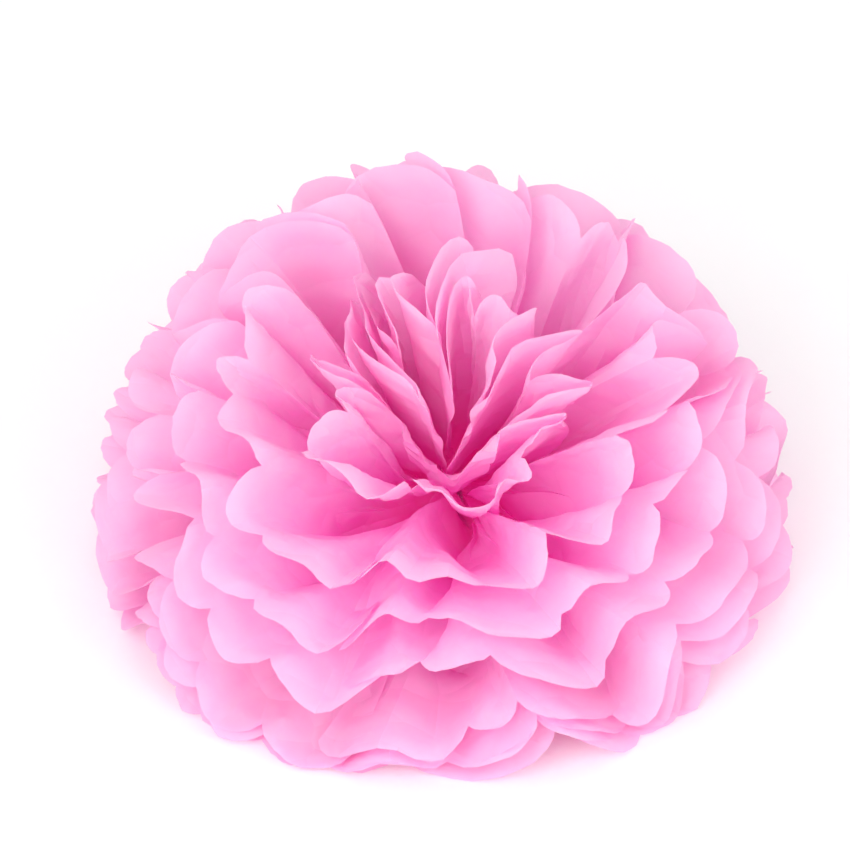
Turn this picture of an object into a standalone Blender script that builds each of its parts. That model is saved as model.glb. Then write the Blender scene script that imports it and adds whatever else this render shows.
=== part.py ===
"""Tissue paper pom pom, 30 cm across: eight sheets folded into pleats together, tied round the middle with wire,
cut to round ends, fanned out on both sides of the tie and pulled up one by one into a flower.

+Z is up and the pom rests on its lowest sheet. The pleats leave the tie along X, and the two fans of a sheet
meet along Y, in front (-Y) and behind (+Y). Lengths are metres, angles degrees.
"""

import math

import bpy
import numpy as np

# The sheets as they are cut and folded
SHEETS = 8
PANELS = 13  # folded strips across one sheet
PLEAT = 0.038  # width of one strip
HALF_WIDTH = 0.1525  # tie to the tip of a petal: half the sheet's width
SCALLOP = 0.0135  # how far a petal's tip stands past its creases
SCALLOP_FULLNESS = 0.7  # 1 is a sine's arch, and less is fuller
PAPER = 0.0003  # stand-in for 0.03 mm tissue

# The pleats squeezed in the tie
WAIST = 0.0075  # half the width of the squeezed sheets
STEP_UP = 0.002  # from one sheet to the next in the tie
WAIST_SLOPE, FAN_SLOPE = 0.7, 2.3  # a strip's steepest slope across the pleats, rise over run
SLOPE_GROWTH = 0.095  # from the tie to where the pleats may be steepest

# The sheets as they are pulled up, from the lowest to the highest
LOW_RISE, HIGH_RISE = 5.0, 66.0
LOW_LEAN, HIGH_LEAN = 2.0, 14.0  # higher behind and lower in front, by this
LOW_CURL, HIGH_CURL = 6.0, 20.0  # the petals' ends turn outwards
FAN_HALF = 93.2  # the outermost crease of a fan
TURN_END = 0.016  # the creases have turned to their fan directions this far out from the tie
BEND_START = 0.002  # the sheets leave the tie flat up to here
LOW_BEND, HIGH_BEND = 0.012, 0.040  # length of the bend upwards
CURL_START = 0.050
CURL_POWER = 1.6

ROWS = (0.0, 0.008, 0.018, 0.036, 0.070, 0.105, HALF_WIDTH - SCALLOP)
TIP_SHARES = (0.22, 0.5, 0.78)  # points of a round end, across its strip
LINE_STEP = 0.0005

# The tie
WIRE_RADIUS = 0.00045
LOOP_HALF_WIDTH, LOOP_HALF_HEIGHT = 0.0090, 0.0104
LOOP_SQUARENESS = 6.0
LOOP_POINTS = 48
TWIST_RADIUS = 0.0006
TWIST_BEND = 0.001
TWIST_BEND_ANGLES = (30.0, 60.0, 90.0)
TWIST_LENGTH = 0.006
TWIST_TURNS = 2.0
TWIST_POINTS = 20

PINK = (0.93, 0.25, 0.50, 1.0)
WIRE_GREY = (0.55, 0.55, 0.55, 1.0)


def clear_scene():
    for thing in list(bpy.data.objects):
        bpy.data.objects.remove(thing)


def make_material(name, colour, roughness, metallic):
    material = bpy.data.materials.new(name)
    material.use_nodes = True
    shader = material.node_tree.nodes["Principled BSDF"]
    shader.inputs["Base Color"].default_value = colour
    shader.inputs["Roughness"].default_value = roughness
    shader.inputs["Metallic"].default_value = metallic
    return material


def ease(x):
    x = np.clip(x, 0.0, 1.0)
    return x * x * (3.0 - 2.0 * x)


def between(low, high, share):
    return low + (high - low) * share


def run_of(rate):
    """How far each line has gone, from its rate at every LINE_STEP."""
    steps = (rate[:, 1:] + rate[:, :-1]) / 2.0 * LINE_STEP
    return np.concatenate([np.zeros((len(rate), 1)), np.cumsum(steps, axis=1)], axis=1)


def unfolded_fan(level, share):
    """The right fan of a sheet without its pleats: one line a crease, with a point every LINE_STEP."""
    along = np.arange(0.0, HALF_WIDTH + LINE_STEP, LINE_STEP)
    fan = np.linspace(-FAN_HALF, FAN_HALF, PANELS + 1)[:, None]
    top = between(LOW_RISE, HIGH_RISE, share) + between(LOW_LEAN, HIGH_LEAN, share) * np.sin(np.radians(fan))
    bend = ease((along - BEND_START) / between(LOW_BEND, HIGH_BEND, share))
    outer = np.clip((along - CURL_START) / (HALF_WIDTH - CURL_START), 0.0, 1.0)
    slope = np.radians(top * bend - between(LOW_CURL, HIGH_CURL, share) * outer**CURL_POWER)
    heading = np.radians(fan) * ease(run_of(np.cos(slope)) / TURN_END)
    direction = [np.cos(slope) * np.cos(heading), np.cos(slope) * np.sin(heading), np.sin(slope)]
    line = np.stack([run_of(part) for part in direction], axis=-1)
    line[:, :, 1] += np.linspace(-WAIST, WAIST, PANELS + 1)[:, None]
    line[:, :, 2] += STEP_UP * level
    return along, line


def pleated_fan(level, share):
    """The same lines moved up and down in turn, so that the strips between them keep their width.
    Returns them with the upward normal and the thickness to lay along it."""
    along, line = unfolded_fan(level, share)
    normal = np.cross(np.gradient(line, axis=1), np.gradient(line, axis=0))
    normal /= np.linalg.norm(normal, axis=-1, keepdims=True)
    gap = np.linalg.norm(np.diff(line, axis=0), axis=-1)
    gap = np.concatenate([gap[:1], (gap[1:] + gap[:-1]) / 2.0, gap[-1:]])
    steep = between(WAIST_SLOPE, FAN_SLOPE, ease(along / SLOPE_GROWTH)) * gap
    depth = np.minimum(np.sqrt(np.maximum(PLEAT**2 - gap**2, 0.0)), steep)
    up_down = np.where(np.arange(PANELS + 1) % 2 == 0, 0.5, -0.5)[:, None]
    line = line + (up_down * depth)[..., None] * normal
    thickness = PAPER * np.hypot(gap, depth) / gap
    return along, line, normal, thickness


def at_length(along, values, length):
    """One crease's values at a length from the tie."""
    spot = min(length / LINE_STEP, len(along) - 1.001)
    low = int(spot)
    return between(values[low], values[low + 1], spot - low)


def fan_points(level, share):
    """Points and thickness offsets of one fan: a row of creases for each of ROWS, then the round ends."""
    along, line, normal, thickness = pleated_fan(level, share)
    offset = normal * thickness[..., None] / 2.0

    def place(values, crease, across, length):
        """A point of the strip beside this crease, a share of the way across it."""
        near = at_length(along, values[crease], length)
        if across == 0.0:
            return near
        return between(near, at_length(along, values[crease + 1], length), across)

    spots = [(crease, 0.0, row) for row in ROWS for crease in range(PANELS + 1)]
    for crease in range(PANELS):
        for across in TIP_SHARES:
            reach = HALF_WIDTH - SCALLOP + SCALLOP * math.sin(math.pi * across) ** SCALLOP_FULLNESS
            spots.append((crease, across, reach))
    return [place(line, *spot) for spot in spots], [place(offset, *spot) for spot in spots]


def fan_faces():
    """Triangles of one fan by its points' numbers, facing up, and its outer edge from front to back."""
    creases = PANELS + 1
    last_row = (len(ROWS) - 1) * creases
    faces = []
    for row in range(len(ROWS) - 1):
        for j in range(PANELS):
            a = row * creases + j
            b = a + creases
            faces += [(a, b, b + 1), (a, b + 1, a + 1)]
    rim = [row * creases for row in range(len(ROWS))]
    for j in range(PANELS):
        a = last_row + j
        first_tip = len(ROWS) * creases + j * len(TIP_SHARES)
        tips = [first_tip + i for i in range(len(TIP_SHARES))]
        outline = tips + [a + 1]
        for near, far in zip(outline[:-1], outline[1:]):
            faces.append((a, near, far))
        rim += tips + [a + 1]
    rim += [row * creases + PANELS for row in reversed(range(len(ROWS) - 1))]
    return faces, rim


def sheet_mesh(name, level):
    """Both fans of one sheet as a closed solid: the left fan is the right one's mirror image and shares its waist."""
    share = level / (SHEETS - 1)
    middle, shift = fan_points(level, share)
    faces, rim = fan_faces()
    waist = PANELS + 1
    count = len(middle)
    mirror = [i if i < waist else count + i - waist for i in range(count)]
    flip = np.array([-1.0, 1.0, 1.0])
    middle = np.array(middle)
    shift = np.array(shift)
    middle[:waist, 0] = 0.0
    shift[:waist, 0] = 0.0
    middle = np.concatenate([middle, middle[waist:] * flip])
    shift = np.concatenate([shift, shift[waist:] * flip])
    top = faces + [tuple(mirror[i] for i in reversed(face)) for face in faces]
    edge = rim[:-1] + [mirror[i] for i in reversed(rim)][:-1]
    total = len(middle)
    bottom = [tuple(i + total for i in reversed(face)) for face in top]
    sides = []
    for a, b in zip(edge, edge[1:] + edge[:1]):
        sides += [(a, a + total, b + total), (a, b + total, b)]
    mesh = bpy.data.meshes.new(name)
    mesh.from_pydata(np.concatenate([middle + shift, middle - shift]).tolist(), [], top + bottom + sides)
    mesh.validate()
    return mesh


def wire_route():
    """The wire's middle line in the plane x = 0: up one strand of the twist, round the pleats and down the other."""
    centre = STEP_UP * (SHEETS - 1) / 2.0
    half = []
    for i in range(TWIST_POINTS + 1):
        share = i / TWIST_POINTS
        turn = 2.0 * math.pi * TWIST_TURNS * (1.0 - share)
        height = centre - LOOP_HALF_HEIGHT - TWIST_BEND - TWIST_LENGTH * (1.0 - share)
        half.append((TWIST_RADIUS * math.sin(turn), TWIST_RADIUS * math.cos(turn), height))
    for angle in TWIST_BEND_ANGLES:
        y = TWIST_RADIUS + TWIST_BEND * (1.0 - math.cos(math.radians(angle)))
        z = centre - LOOP_HALF_HEIGHT - TWIST_BEND * (1.0 - math.sin(math.radians(angle)))
        half.append((0.0, y, z))
    loop = []
    for i in range(1, LOOP_POINTS):
        angle = 2.0 * math.pi * i / LOOP_POINTS - math.pi / 2.0
        y = LOOP_HALF_WIDTH * math.copysign(abs(math.cos(angle)) ** (2.0 / LOOP_SQUARENESS), math.cos(angle))
        z = LOOP_HALF_HEIGHT * math.copysign(abs(math.sin(angle)) ** (2.0 / LOOP_SQUARENESS), math.sin(angle))
        loop.append((0.0, y, centre + z))
    other = [(-x, -y, z) for x, y, z in reversed(half)]
    return half + loop + other


def make_wire(name):
    curve = bpy.data.curves.new(name, "CURVE")
    curve.dimensions = "3D"
    curve.bevel_depth = WIRE_RADIUS
    curve.bevel_resolution = 2
    curve.use_fill_caps = True
    route = wire_route()
    spline = curve.splines.new("POLY")
    spline.points.add(len(route) - 1)
    for point, place in zip(spline.points, route):
        point.co = (*place, 1.0)
    return bpy.data.objects.new(name, curve)


def lowest_and_highest(meshes):
    points = np.array([corner.co for mesh in meshes for corner in mesh.vertices])
    return points.min(axis=0), points.max(axis=0)


def main():
    clear_scene()
    collection = bpy.context.scene.collection
    pom = bpy.data.objects.new("pom", None)
    collection.objects.link(pom)
    meshes = []
    for level in range(SHEETS):
        name = f"tissue_sheet_{level + 1}"
        mesh = sheet_mesh(name, level)
        mesh.materials.append(make_material(f"pink_tissue_{level + 1}", PINK, 0.85, 0.0))
        meshes.append(mesh)
        sheet = bpy.data.objects.new(name, mesh)
        sheet.parent = pom
        collection.objects.link(sheet)
    wire = make_wire("wire_tie")
    wire.data.materials.append(make_material("tie_wire", WIRE_GREY, 0.4, 1.0))
    wire.parent = pom
    collection.objects.link(wire)
    low, high = lowest_and_highest(meshes)
    pom.location = (-(low[0] + high[0]) / 2.0, -(low[1] + high[1]) / 2.0, -low[2])


main()
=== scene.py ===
import math

import bpy
import numpy as np
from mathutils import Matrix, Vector


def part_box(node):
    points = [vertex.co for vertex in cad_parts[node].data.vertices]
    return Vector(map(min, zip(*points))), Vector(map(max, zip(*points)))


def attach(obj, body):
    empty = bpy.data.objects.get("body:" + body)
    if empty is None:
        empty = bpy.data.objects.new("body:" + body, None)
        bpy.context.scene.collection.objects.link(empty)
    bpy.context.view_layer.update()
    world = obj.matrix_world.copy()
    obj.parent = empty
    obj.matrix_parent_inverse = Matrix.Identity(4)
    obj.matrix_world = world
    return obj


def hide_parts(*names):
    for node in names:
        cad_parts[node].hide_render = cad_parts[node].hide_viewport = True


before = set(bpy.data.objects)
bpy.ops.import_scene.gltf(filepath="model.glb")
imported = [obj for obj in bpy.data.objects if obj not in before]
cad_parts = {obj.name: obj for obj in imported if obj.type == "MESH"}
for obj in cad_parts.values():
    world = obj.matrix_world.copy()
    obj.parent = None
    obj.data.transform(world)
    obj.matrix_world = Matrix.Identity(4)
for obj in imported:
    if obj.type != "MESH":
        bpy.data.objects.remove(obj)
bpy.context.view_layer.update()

# The tissue sheets.
# Eight rectangles of thin pink tissue, pleated together, cut to round ends and tied across the middle. Each
# is fanned out to both sides of the tie and then pulled up by hand, the top one first, so no two petals lie
# alike.
SHEETS = 8
PLEATS = 13  # strips across a sheet
PLEAT_WIDTH = 0.038
HALF_SHEET = 0.1525  # from the tie to a petal's tip
ROUND_END = 0.0135  # how far the round end stands past the folds beside it
WAIST = 0.0055  # half the width of the squeezed pleats in the tie
STACK_STEP = 0.0015  # from one sheet to the next in the tie
TIE_OFF_MIDDLE = 0.002  # the left fan is longer by this, and the right one shorter
TIE_HEIGHT = 0.5 * (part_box("wire_tie")[0][2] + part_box("wire_tie")[1][2])
COLUMNS_A_PLEAT = 12
ROWS_A_HALF = 56
STEP = 0.0005  # between the points that a fan's lines are worked out at
SEEDS = dict(sway=500, lift=600, loose=90, trim=40, fluff=7, crumple=300, crinkle=330)

# How the sheets are opened, from the lowest to the top one, with angles in degrees.
FAN_HALF = 94.0  # heading of a fan's outermost fold, from +X
RISES = (3.0, 8.0, 15.0, 23.0, 34.0, 45.0, 57.0, 78.0)  # how far each sheet is pulled up
DROPS = (9.0, 12.0, 16.5, 21.5, 17.0, 17.0, 14.0, 9.0)  # and how much less than that in front
CURLS = (3.0, 5.0, 7.0, 9.0, 11.0, 13.0, 13.0, 7.0)  # how far their ends turn outwards again
FRONT_OPEN = (0.0, 0.0, 0.0, 0.02, 0.04, 0.08, 0.14, 0.30)  # the front pleats are opened by this share
PAIRED = (0.0, 0.0, 0.0, 0.0, 0.0, 0.1, 0.3, 0.6)  # every other upper fold is flatter by this, others deeper

# A pair is for the lowest and the top sheet, with the others in between, unless its line says what else.
BEND = (0.022, 0.012)  # length of the bend upwards
SIDE_SWAY = (8.0, 4.0)  # a petal's end leans to the side by this
END_LIFT = 4.5  # and up or down by this
STEEPEST = (3.0, 7.0)  # how many times deeper than wide a fold may be
STEEP_BY = (0.060, 0.045)  # and how far out it reaches that
END_DEPTH = (0.60, 0.85)  # share of its depth that a fold keeps at the petals' ends
FRONT_FLATTER = 0.5  # share of the kept depth that goes in front
LEFT_OPENS_MORE = 0.12  # the left fan's front opens more by this share, and the right one's less
OPENED_PART = 0.12  # share of a fan over which that comes on
ROUNDNESS = (0.02, 0.10)  # of a fold, in the tie and at the petal's end
LOOSE, LOOSE_VARIES = 0.9, 0.3  # a fold's depth at its end against the one worked out, and its variation
TRIMMED = 0.004  # the scissors cut up to this much deeper on some petals
RAGGED = 0.0008  # and their cut is uneven by this

# Where along a petal each change comes on: the distance from the tie that it starts at, and its length.
BEND_FROM, CURL_FROM = 0.002, 0.050
HEADS_OUT = 0.007  # the folds turn to their own headings on this first stretch
LEANS, FLATTENS, LOOSENS = (0.060, 0.085), (0.070, 0.080), (0.045, 0.080)
PAIRS, ROUNDS, CRUMPLES = (0.0, 0.060), (0.050, 0.100), (0.030, 0.080)
FREED = (0.012, 0.050)  # all that fluffing does
DROP_POWER, CURL_POWER, END_POWER = 1.5, 1.6, 0.7  # how suddenly each comes on

# Random waves: how many, and the least and most of their turns, in radians a pleat or a metre.
SWAY_WAVES, LIFT_WAVES, LOOSE_WAVES = (7, 0.3, 0.9), (7, 0.5, 1.7), (9, 0.8, 2.2)
CRUMPLE_WAVES, CRINKLE_WAVES = (14, 60.0, 200.0), (10, 120.0, 420.0)
CRUMPLE, CRINKLE = 0.0005, 0.0004  # how far they lift the paper


def ease(x):
    x = np.clip(x, 0.0, 1.0)
    return x * x * (3.0 - 2.0 * x)


def grown(along, start, length):
    """0 up to the start, and from there growing softly to 1 over the length."""
    return ease((along - start) / length)


def between(low, high, share):
    return low + (high - low) * share


def gone(rate):
    """How far a line has gone, from its rate at every STEP."""
    steps = (rate[:, 1:] + rate[:, :-1]) / 2.0 * STEP
    return np.concatenate([np.zeros((len(rate), 1)), np.cumsum(steps, axis=1)], axis=1)


def normals(points):
    """The way across the paper at each point of a grid."""
    normal = np.cross(np.gradient(points, axis=1), np.gradient(points, axis=0))
    return normal / (np.linalg.norm(normal, axis=-1, keepdims=True) + 1e-12)


def waves(x, y, seed, count, low, high):
    """A soft random surface over x and y, about -1 to 1: sine waves with their own directions."""
    dice = np.random.default_rng(seed)
    total = np.zeros(np.broadcast(x, y).shape)
    for _ in range(count):
        turns = dice.uniform(low, high)
        way = dice.uniform(0.0, 2.0 * math.pi)
        phase = dice.uniform(0.0, 2.0 * math.pi)
        total = total + np.sin(turns * (math.cos(way) * x + math.sin(way) * y) + phase)
    return total / math.sqrt(count / 2.0)


def fan_lines(level, side, across):
    """One fan without its pleats: a line from the tie for each place across the sheet, a point every STEP."""
    share = level / (SHEETS - 1)
    along = np.arange(0.0, HALF_SHEET + TIE_OFF_MIDDLE + STEP, STEP)
    part = across / PLEATS
    opened = FRONT_OPEN[level] * (1.0 - LEFT_OPENS_MORE * side)
    part = part + opened * (1.0 - part) * (1.0 - np.exp(-part / OPENED_PART))
    fan = np.radians(between(-FAN_HALF, FAN_HALF, part))[:, None]
    top = RISES[level] - DROPS[level] * np.clip(-np.sin(fan), 0.0, 1.0) ** DROP_POWER
    bend = grown(along, BEND_FROM, between(*BEND, share))
    curl = CURLS[level] * np.clip((along - CURL_FROM) / (HALF_SHEET - CURL_FROM), 0.0, 1.0) ** CURL_POWER
    free = grown(along, *LEANS)
    which = 2 * level + side
    sway = between(*SIDE_SWAY, share) * waves(across, 0.0, SEEDS["sway"] + which, *SWAY_WAVES)[:, None]
    lift = END_LIFT * waves(across, 0.0, SEEDS["lift"] + which, *LIFT_WAVES)[:, None]
    slope = np.radians(top * bend - curl + lift * free)
    heading = fan * ease(gone(np.cos(slope)) / HEADS_OUT) + np.radians(sway) * free
    ways = [np.cos(slope) * np.cos(heading), np.cos(slope) * np.sin(heading), np.sin(slope)]
    return along, np.stack([gone(way) for way in ways], axis=-1)


def fold_depths(level, along, across, gap):
    """How deep the folds are, from the space between the lines: the paper that is left over is in them."""
    share = level / (SHEETS - 1)
    steep = between(1.0, between(*STEEPEST, share**2), ease(along / between(*STEEP_BY, share)))
    depth = np.minimum(np.sqrt(np.maximum(PLEAT_WIDTH**2 - gap**2, 0.0)), steep * gap)
    front = ease(1.4 - 2.8 * across / PLEATS)[:, None]  # 1 in the front pleats and 0 past the fan's middle
    kept = between(*END_DEPTH, share) * (1.0 - FRONT_FLATTER * front)
    depth = depth * between(1.0, kept, grown(along, *FLATTENS))
    pairing = 1.0 + PAIRED[level] * np.cos(across * math.pi / 2.0)[:, None]
    return between(depth, depth * pairing, grown(along, *PAIRS))


def cut_lengths(level, side, across):
    """How long each place across the sheet is from the tie to its round, slightly uneven cut end."""
    dice = np.random.default_rng(SEEDS["trim"] + level * 2 + side)
    middle = np.sin(math.pi * (across % 1.0))
    shorter = np.repeat(dice.uniform(0.0, TRIMMED, PLEATS + 1), COLUMNS_A_PLEAT)[:len(across)]
    reach = HALF_SHEET - TIE_OFF_MIDDLE * side - ROUND_END + ROUND_END * middle**END_POWER
    return reach - shorter * middle - dice.uniform(0.0, RAGGED, len(across))


def pleated_fan(level, side):
    """Points of one fan, one row of points for each column across the sheet, on side +1 or -1 of the tie."""
    across = np.arange(PLEATS * COLUMNS_A_PLEAT + 1) / COLUMNS_A_PLEAT
    along, line = fan_lines(level, side, across)
    line[:, :, 1] += between(-WAIST, WAIST, across / PLEATS)[:, None]
    gap = np.linalg.norm(np.gradient(line, 1.0 / COLUMNS_A_PLEAT, axis=0), axis=-1)
    fold = np.abs(across % 2.0 - 1.0) * 2.0 - 1.0  # 1 at even folds and -1 at odd ones
    rounded = np.sin(fold * math.pi / 2.0)
    profile = between(fold[:, None], rounded[:, None], between(*ROUNDNESS, grown(along, *ROUNDS)))
    spread = waves(across + 20.0 * side, 0.8 * level, SEEDS["loose"], *LOOSE_WAVES)[:, None]
    loosen = between(1.0, LOOSE + LOOSE_VARIES * spread, grown(along, *LOOSENS))
    lifted = profile * fold_depths(level, along, across, gap) * loosen / 2.0
    line = line + lifted[..., None] * normals(line)
    length = cut_lengths(level, side, across)[:, None] * np.linspace(0.0, 1.0, ROWS_A_HALF + 1)
    place = np.clip(length / STEP, 0.0, len(along) - 1.001)  # so that a point follows the last place
    low = place.astype(int)
    column = np.arange(len(across))[:, None]
    points = between(line[column, low], line[column, low + 1], (place - low)[..., None])
    points[..., 0] *= side
    points[..., 2] += STACK_STEP * (level - (SHEETS - 1) / 2.0)
    return points, length * side


# How the flower was fluffed, round the axis of its heart, with angles in degrees.
HEART_LEAN = math.radians(28.0)  # the flower's heart opens this far to the front of straight up
HEART_RISE = math.radians(76.0)  # and what stands this steep leans by all of that
FRONT_TURN = 18.0  # the front petals are turned to the left by this
BACK_SWAY, BACK_CLIMB = 15.0, 5.5  # and those at the back to and fro, with their rise
SWAYS = ((1, 10.0, 4.0), (2, 8.0, 4.0), (4, 10.0, 2.8), (7, 9.0, 2.3))  # waves round, their climb, how far
OUTWARD_DRIFT = 9.0  # the waves turn by this many radians a metre
LIFTS = ((9, 3.0), (13, 2.4), (19, 1.6))  # waves round, how far
LIFT_CLIMB = 5.0
FLOOR_GAP = 0.0008  # each sheet lies this far above the one below where the floor flattens them
FLOOR_SOFTNESS = 0.0035  # they meet it over about this height


def tipped(points, angle):
    """Turned about X, so that what stood up leans to the front."""
    y = points[..., 1] * np.cos(angle) - points[..., 2] * np.sin(angle)
    z = points[..., 1] * np.sin(angle) + points[..., 2] * np.cos(angle)
    return np.stack([points[..., 0], y, z], axis=-1)


def polar(points):
    """Reach from the tie, heading and rise."""
    reach = np.linalg.norm(points, axis=-1) + 1e-9
    rise = np.arcsin(np.clip(points[..., 2] / reach, -1.0, 1.0))
    return reach, np.arctan2(points[..., 1], points[..., 0]), rise


def from_polar(reach, heading, rise):
    flat = reach * np.cos(rise)
    return np.stack([flat * np.cos(heading), flat * np.sin(heading), reach * np.sin(rise)], axis=-1)


def fluffed(points):
    """The sheets as a hand leaves them: the space round the tie is bent, and all that is in it goes along."""
    reach, heading, rise = polar(points)
    free = grown(reach, *FREED)
    heading = heading - free * math.radians(FRONT_TURN) * (0.5 - 0.5 * np.sin(heading)) ** 2
    lean = HEART_LEAN * np.clip(rise / HEART_RISE, 0.0, 1.2) ** 2
    points = tipped(from_polar(reach, heading, rise), free * lean)
    reach, heading, rise = polar(tipped(points, -HEART_LEAN))
    dice = np.random.default_rng(SEEDS["fluff"])
    for turns, climbs, sway in SWAYS:
        phase = dice.uniform(0.0, 2.0 * math.pi, 2)
        drift = turns * heading + climbs * rise + OUTWARD_DRIFT * reach + phase[0]
        heading = heading + free * math.radians(sway) * np.sin(drift)
        lift = math.radians(sway * 0.6) * np.sin((turns + 3) * heading + climbs * 0.3 * rise + phase[1])
        rise = rise + free * lift * np.cos(rise)
    behind = (0.5 + 0.5 * np.sin(heading)) ** 2
    heading = heading + free * math.radians(BACK_SWAY) * behind * np.sin(BACK_CLIMB * rise)
    for turns, lift in LIFTS:
        phase = dice.uniform(0.0, 2.0 * math.pi)
        wave = np.sin(turns * heading + LIFT_CLIMB * rise + phase)
        rise = rise + free * math.radians(lift) * wave * np.cos(rise)
    return tipped(from_polar(reach, heading, rise), HEART_LEAN)


def settled(points, floor):
    """Pressed on the table: what would hang lower than the floor lies on it."""
    height = points[..., 2] - floor
    points[..., 2] = floor + FLOOR_SOFTNESS * np.logaddexp(0.0, height / FLOOR_SOFTNESS)
    return points


def sheet_points(level):
    """A sheet's points as it stands and, for its material, where each of them was on the flat sheet."""
    left, left_length = pleated_fan(level, -1)
    right, right_length = pleated_fan(level, 1)
    points = fluffed(np.concatenate([left[:, ::-1], right[:, 1:]], axis=1))
    length = np.concatenate([left_length[:, ::-1], right_length[:, 1:]], axis=1)
    across = np.arange(len(points))[:, None] / COLUMNS_A_PLEAT * PLEAT_WIDTH
    lifted = waves(across, length, SEEDS["crumple"] + level, *CRUMPLE_WAVES) * CRUMPLE
    lifted = lifted + np.abs(waves(across, length, SEEDS["crinkle"] + level, *CRINKLE_WAVES)) * CRINKLE
    free = grown(np.abs(length), *CRUMPLES)
    points = points + (lifted * free)[..., None] * normals(points)
    points = settled(points, -TIE_HEIGHT + FLOOR_GAP * (level + 1))
    points[..., 2] += TIE_HEIGHT
    flat = np.stack([np.broadcast_to(across, length.shape), length + HALF_SHEET], axis=-1)
    return points, flat


SHARP_FOLD = math.radians(24.0)  # a fold sharper than this is shaded as a crease


def sheet_mesh(name, points, flat):
    columns, rows = points.shape[:2]
    number = np.arange(columns * rows).reshape(columns, rows)
    corners = [number[:-1, :-1], number[1:, :-1], number[1:, 1:], number[:-1, 1:]]
    faces = np.stack(corners, axis=-1).reshape(-1, 4)
    mesh = bpy.data.meshes.new(name)
    mesh.from_pydata(points.reshape(-1, 3).tolist(), [], faces.tolist())
    layer = mesh.uv_layers.new(name="flat_sheet")
    layer.data.foreach_set("uv", flat.reshape(-1, 2)[faces.ravel()].ravel())
    mesh.shade_smooth()
    mesh.set_sharp_from_angle(angle=SHARP_FOLD)
    piece = bpy.data.objects.new(name, mesh)
    bpy.context.scene.collection.objects.link(piece)
    return piece


class Socket:
    """A shader value that Python's own signs work on."""

    def __init__(self, nodes, socket):
        self.nodes, self.socket = nodes, socket

    def math(self, operation, second):
        return self.nodes.add("Math", dict(operation=operation), {0: self, 1: second})[0]

    def __add__(self, other):
        return self.math("ADD", other)

    def __sub__(self, other):
        return self.math("SUBTRACT", other)

    def __mul__(self, other):
        return self.math("MULTIPLY", other)

    def __pow__(self, other):
        return self.math("POWER", other)

    def __abs__(self):
        return self.math("ABSOLUTE", 0.0)


class Nodes:
    """A material's nodes, each made by one call with its type, its settings and its sockets' values."""

    def __init__(self, name):
        self.material = bpy.data.materials.new(name)
        self.material.use_nodes = True
        self.tree = self.material.node_tree
        self.tree.nodes.clear()

    def add(self, kind, settings=(), sockets=()):
        node = self.tree.nodes.new("ShaderNode" + kind)
        for key, value in dict(settings).items():
            setattr(node, key, value)
        for key, value in dict(sockets).items():
            if isinstance(value, Socket):
                self.tree.links.new(value.socket, node.inputs[key])
            else:
                node.inputs[key].default_value = value
        return [Socket(self, output) for output in node.outputs]


def blend(nodes, share, first, second):
    """A colour between two."""
    return nodes.add("Mix", dict(data_type="RGBA"), {"Factor": share, "A": first, "B": second})[2]


# The tissue's colours, each at the petals' ends and near the tie. The deeper, more saturated colours near the
# tie
# # are painted shade, for the shade among the many layers there, and the glow near the tie is painted light.
PAPER_AND_PAINTED_SHADE = (1.0, 0.68, 0.87, 1.0), (1.0, 0.56, 0.92, 1.0)
LIT_THROUGH_AND_PAINTED_SHADE = (1.0, 0.59, 0.86, 1.0), (1.0, 0.48, 0.90, 1.0)
PAINTED_GLOW = (0.0, 0.0, 0.0, 1.0), (0.060, 0.003, 0.020, 1.0)  # light from layers past the last bounce
ENDS_AT, TIE_AT = 0.15, 0.03  # how far from the tie each is reached
CLOUDY_TINT = 0.3
LIGHT_THROUGH, CLOUDY_LIGHT = 0.36, 0.14  # share of the light that goes through, and what thin places add


def tissue_material():
    """Thin tissue lets light through, so its folds deepen to a strong pink and its free edges stay pale."""
    nodes = Nodes("pink_tissue")
    flat = nodes.add("UVMap", dict(uv_map="flat_sheet"))[0]
    length = nodes.add("SeparateXYZ", {}, {0: flat})[1]
    # Painted shade and light, strongest at the tie: this share deepens the colours and makes the paper glow
    # there.
    painted_shade_and_glow = nodes.add("MapRange", dict(interpolation_type="SMOOTHSTEP"),
                      {"Value": abs(length - HALF_SHEET), "From Min": ENDS_AT, "From Max": TIE_AT})[0]
    cloud = nodes.add("TexNoise", {}, {"Vector": flat, "Scale": 140.0, "Detail": 1.0})[0]
    facet = nodes.add("TexVoronoi", dict(feature="F1"), {"Vector": flat, "Scale": 60.0})[0]
    bump = nodes.add("Bump", {}, {"Strength": 0.9, "Distance": 0.0022, "Height": facet})[0]
    # Painted shade: the base colour deepens towards the tie, on top of its random cloudy tone.
    tint = blend(nodes, painted_shade_and_glow + cloud * CLOUDY_TINT - CLOUDY_TINT / 2.0, *PAPER_AND_PAINTED_SHADE)
    # The emission near the tie is a painted glow, standing in for light lost past the last bounce.
    front = nodes.add("BsdfPrincipled", {}, {"Base Color": tint, "Roughness": 0.8, "Specular IOR Level": 0.2,
                                             "Normal": bump, "Emission Color": blend(nodes, painted_shade_and_glow**2, *PAINTED_GLOW),
                                             "Emission Strength": 1.0})[0]
    # Painted shade: the colour of the light let through also deepens towards the tie.
    back = nodes.add("BsdfTranslucent", {}, {"Color": blend(nodes, painted_shade_and_glow, *LIT_THROUGH_AND_PAINTED_SHADE), "Normal": bump})[0]
    through = cloud * CLOUDY_LIGHT + LIGHT_THROUGH
    paper = nodes.add("MixShader", {}, {0: through, 1: front, 2: back})[0]
    nodes.add("OutputMaterial", {}, {"Surface": paper})
    return nodes.material


tissue = tissue_material()
for level in range(SHEETS):
    sheet = sheet_mesh(f"tissue_paper_{level + 1}", *sheet_points(level))
    sheet.data.materials.append(tissue)
    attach(sheet, "root")
    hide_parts(f"tissue_sheet_{level + 1}")

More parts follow.
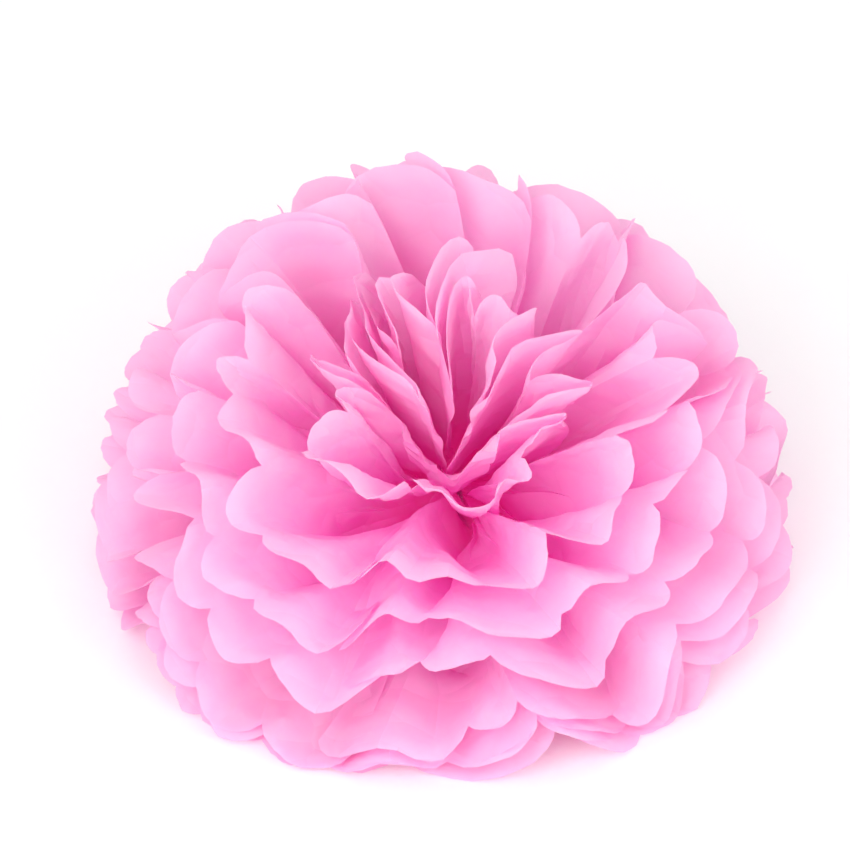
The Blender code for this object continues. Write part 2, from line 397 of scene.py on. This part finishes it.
# The tie wire.
# One length of thin galvanised steel wire, bent once round the squeezed pleats, drawn tight and closed under
# them by twisting its two ends together.
WIRE_RADIUS = 0.0004
LOOP_HALF_WIDTH = WAIST + 0.0016
LOOP_HALF_HEIGHT = STACK_STEP * (SHEETS - 1) / 2.0 + 0.0030
LOOP_POWER = 2.0 / 5.0  # 1 would be an ellipse, and 0 a rectangle
LOOP_STEPS, LOOP_GAP = 97, 5  # points round the whole loop, and those left out on each side of the twist
TWIST_RADIUS = 0.00055
TWIST_LENGTH = 0.0068
TWIST_TURNS = 2.5
TWIST_POINTS = 37
TWIST_BELOW = 0.0009  # from the loop down to the twist


def flattened(half, ratio):
    """One coordinate of a rounded rectangle, from the same coordinate of a unit circle."""
    return half * math.copysign(abs(ratio) ** LOOP_POWER, ratio)


def wire_route():
    """Up one strand of the twist, round the pleats and down the other."""
    foot = TIE_HEIGHT - LOOP_HALF_HEIGHT
    strand = []
    for left in np.linspace(1.0, 0.0, TWIST_POINTS):
        turn = 2.0 * math.pi * TWIST_TURNS * left
        height = foot - TWIST_BELOW - TWIST_LENGTH * left
        strand.append((TWIST_RADIUS * math.sin(turn), TWIST_RADIUS * math.cos(turn), height))
    strand.append((0.0, TWIST_RADIUS + WIRE_RADIUS, foot - WIRE_RADIUS / 2.0))
    loop = []
    for angle in np.linspace(-math.pi / 2.0, 1.5 * math.pi, LOOP_STEPS + 1)[LOOP_GAP:-LOOP_GAP]:
        y = flattened(LOOP_HALF_WIDTH, math.cos(angle))
        loop.append((0.0, y, TIE_HEIGHT + flattened(LOOP_HALF_HEIGHT, math.sin(angle))))
    return strand + loop + [(-x, -y, z) for x, y, z in reversed(strand)]


def wire_piece(name, route):
    curve = bpy.data.curves.new(name, "CURVE")
    curve.dimensions = "3D"
    curve.bevel_depth = WIRE_RADIUS
    curve.bevel_resolution = 3
    curve.use_fill_caps = True
    spline = curve.splines.new("NURBS")
    spline.points.add(len(route) - 1)
    for point, place in zip(spline.points, route):
        point.co = (*place, 1.0)
    spline.use_endpoint_u = True
    spline.resolution_u = 2
    drawn = bpy.data.objects.new(name + "_drawn", curve)
    bpy.context.scene.collection.objects.link(drawn)
    mesh = bpy.data.meshes.new_from_object(drawn.evaluated_get(bpy.context.evaluated_depsgraph_get()))
    bpy.data.objects.remove(drawn)
    mesh.shade_smooth()
    piece = bpy.data.objects.new(name, mesh)
    bpy.context.scene.collection.objects.link(piece)
    return piece


DULL_ZINC, BRIGHT_ZINC = (0.42, 0.43, 0.45, 1.0), (0.68, 0.68, 0.67, 1.0)
SMOOTHEST, ROUGHER = 0.25, 0.3  # the wire's roughness, and what its patches add


def wire_material():
    """Zinc with fine drawing marks, and brighter and duller patches."""
    nodes = Nodes("galvanised_wire")
    place = nodes.add("TexCoord")[3]  # the object's own coordinates
    patch = nodes.add("TexNoise", {}, {"Vector": place, "Scale": 700.0, "Detail": 3.0})[0]
    marks = nodes.add("TexNoise", {}, {"Vector": place, "Scale": 4000.0, "Detail": 2.0})[0]
    bump = nodes.add("Bump", {}, {"Strength": 0.2, "Distance": 0.0001, "Height": marks})[0]
    zinc = nodes.add("BsdfPrincipled", {}, {"Base Color": blend(nodes, patch, DULL_ZINC, BRIGHT_ZINC),
                                            "Metallic": 1.0, "Roughness": patch * ROUGHER + SMOOTHEST,
                                            "Normal": bump})[0]
    nodes.add("OutputMaterial", {}, {"Surface": zinc})
    return nodes.material


wire = wire_piece("tie_wire", wire_route())
wire.data.materials.append(wire_material())
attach(wire, "root")
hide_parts("wire_tie")

# The stage.
# A plain white floor, a bright even sky and two large soft lamps, the window on the left and a weaker fill.
FLOOR_HALF = 4
FLOOR_WHITE = (0.94, 0.94, 0.94, 1.0)
SKY_STRENGTH = 0.93
LAMP_SIZE = 0.9
LAMPS = (("window", (-0.5, -0.9, 0.9), 6.5), ("fill", (0.8, -0.8, 0.7), 4.0))  # name, place and watts
LAMPS_AIM = (0.0, 0.0, 0.05)

floor_mesh = bpy.data.meshes.new("floor")
floor_corners = [(x * FLOOR_HALF, y * FLOOR_HALF, 0) for x, y in ((-1, -1), (1, -1), (1, 1), (-1, 1))]
floor_mesh.from_pydata(floor_corners, [], [(0, 1, 2, 3)])
floor = bpy.data.objects.new("floor", floor_mesh)
bpy.context.scene.collection.objects.link(floor)
paint = Nodes("floor_white")
white = paint.add("BsdfPrincipled", {}, {"Base Color": FLOOR_WHITE, "Roughness": 0.9})[0]
paint.add("OutputMaterial", {}, {"Surface": white})
floor_mesh.materials.append(paint.material)

world = bpy.data.worlds.new("sky")
bpy.context.scene.world = world
world.use_nodes = True
world.node_tree.nodes["Background"].inputs["Color"].default_value = (1.0, 1.0, 1.0, 1.0)
world.node_tree.nodes["Background"].inputs["Strength"].default_value = SKY_STRENGTH


def aim(thing, place, target):
    thing.location = place
    thing.rotation_euler = (Vector(target) - Vector(place)).to_track_quat("-Z", "Y").to_euler()
    bpy.context.scene.collection.objects.link(thing)


for name, place, watts in LAMPS:
    lamp = bpy.data.lights.new(name, "AREA")
    lamp.size = LAMP_SIZE
    lamp.energy = watts
    aim(bpy.data.objects.new(name, lamp), place, LAMPS_AIM)

# The camera.
# It looks down into the flower's heart from the front. Light goes through many layers of tissue before it is
# # lost, which is what colours the deep folds, along with the shade painted into the tissue near the tie.
CAMERA_DOWN = math.radians(41.5)
CAMERA_FAR = 2.2
LOOK_AT = Vector((-0.010, 0.0, TIE_HEIGHT + 0.049))
camera_data = bpy.data.cameras.new("camera")
camera_data.sensor_width = 36.0
camera_data.lens = 222.0
camera = bpy.data.objects.new("camera", camera_data)
away = Vector((0.0, -math.cos(CAMERA_DOWN), math.sin(CAMERA_DOWN))) * CAMERA_FAR
aim(camera, LOOK_AT + away, LOOK_AT)
bpy.context.scene.camera = camera
bpy.context.scene.view_settings.view_transform = "Standard"

cycles = bpy.context.scene.cycles
cycles.max_bounces = 16
cycles.diffuse_bounces = 12
cycles.transmission_bounces = 12
cycles.use_adaptive_sampling = True
cycles.adaptive_threshold = 0.06
cycles.adaptive_min_samples = 8
